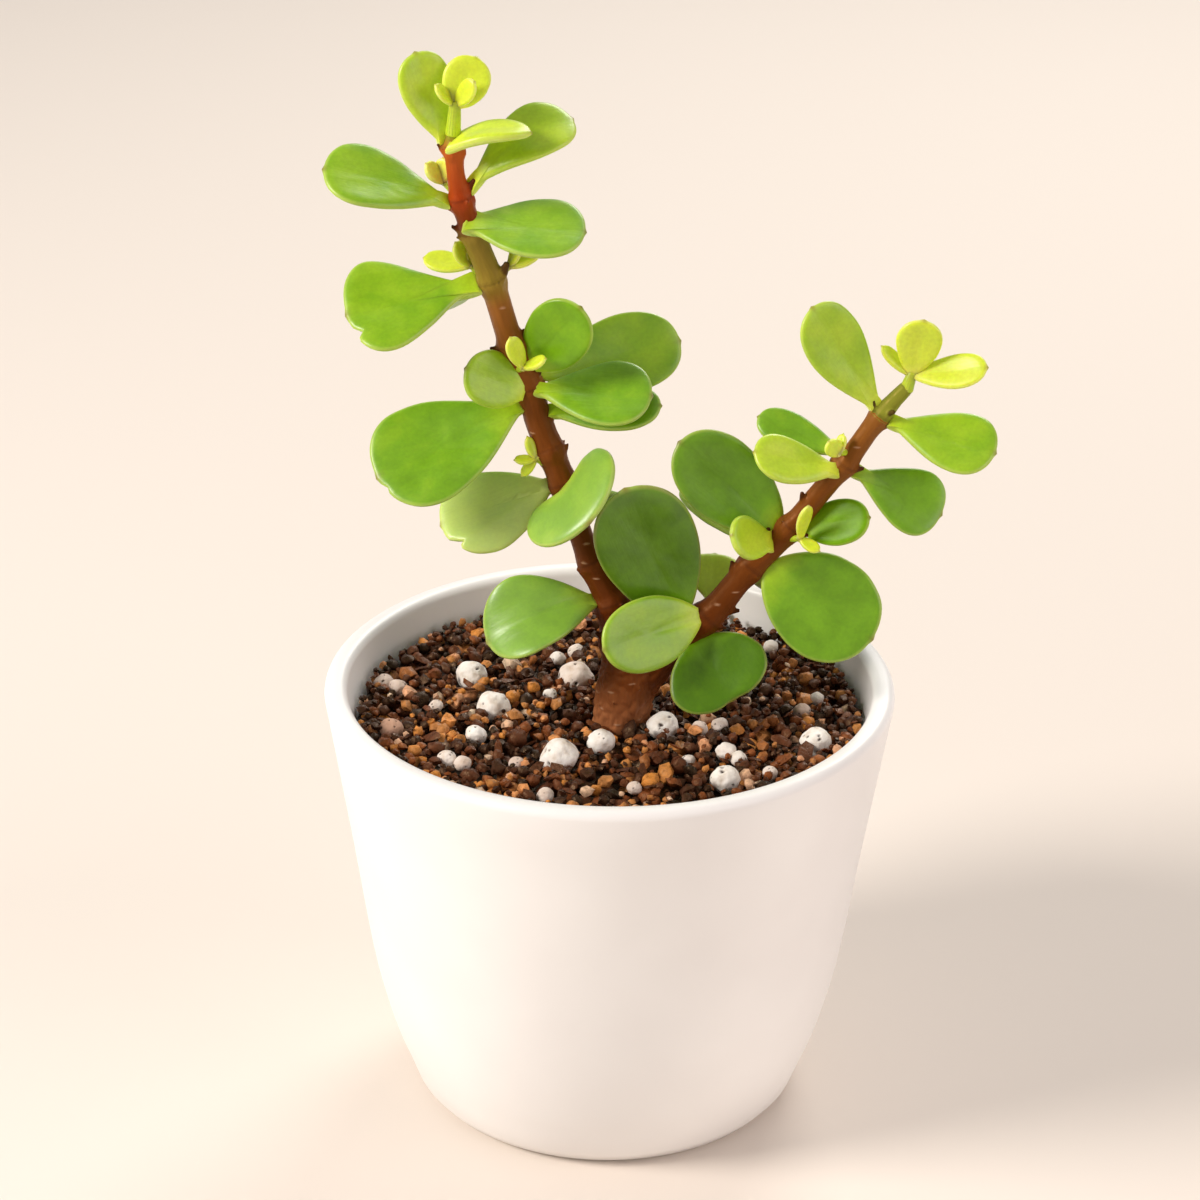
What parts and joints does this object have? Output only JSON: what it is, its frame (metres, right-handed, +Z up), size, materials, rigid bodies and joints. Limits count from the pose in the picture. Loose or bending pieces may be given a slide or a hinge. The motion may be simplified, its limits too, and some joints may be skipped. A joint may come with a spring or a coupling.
{
  "type": "potted dwarf jade bonsai",
  "caption": "Small succulent bonsai with a forked red-brown stem and thick round green leaves, growing in gritty soil in a tapered white glazed pot that stands on a flat base.",
  "frame": {"origin": "centre of the flat underside of the pot, the face that stands on the table", "axes": "+Z up along the pot's axis; -Y is the front, the side that the picture shows; +X is to the right seen from the front"},
  "size_m": [0.0916, 0.08, 0.1526],
  "materials": {
    "pot_glaze": "satin",
    "soil_mix": "matte",
    "bark": "satin",
    "leaf": "satin",
    "young_leaf": "satin"
  },
  "bodies": {
    "root": {"pot": "pot_glaze", "soil": "soil_mix", "trunk_and_stems": "bark", "leaf_left_01": "leaf", "leaf_left_02": "leaf", "leaf_left_03": "leaf", "leaf_left_04": "leaf", "leaf_left_05": "leaf", "leaf_left_06": "leaf", "leaf_left_07": "leaf", "leaf_left_08": "leaf", "leaf_left_09": "leaf", "leaf_left_10": "leaf", "leaf_left_11": "leaf", "leaf_left_12": "leaf", "leaf_left_13": "leaf", "leaf_left_14": "leaf", "leaf_left_15": "leaf", "leaf_right_01": "leaf", "leaf_right_02": "leaf", "leaf_right_03": "leaf", "leaf_right_04": "leaf", "leaf_right_05": "leaf", "leaf_right_06": "leaf", "leaf_right_07": "leaf", "leaf_right_08": "leaf", "leaf_right_09": "leaf", "leaf_right_10": "leaf", "leaf_right_11": "leaf", "leaf_right_12": "leaf", "leaf_right_13": "leaf", "leaf_back_01": "leaf", "leaf_back_02": "leaf", "leaf_back_03": "leaf", "leaf_back_04": "leaf", "leaf_back_05": "leaf", "leaf_back_06": "leaf", "shoot_tip_left": "young_leaf", "bud_left_1": "young_leaf", "bud_left_2": "young_leaf", "bud_left_3": "young_leaf", "bud_left_4": "young_leaf", "bud_left_5": "young_leaf", "shoot_tip_right": "young_leaf", "bud_right_1": "young_leaf", "bud_right_2": "young_leaf"}
  },
  "joints": []
}
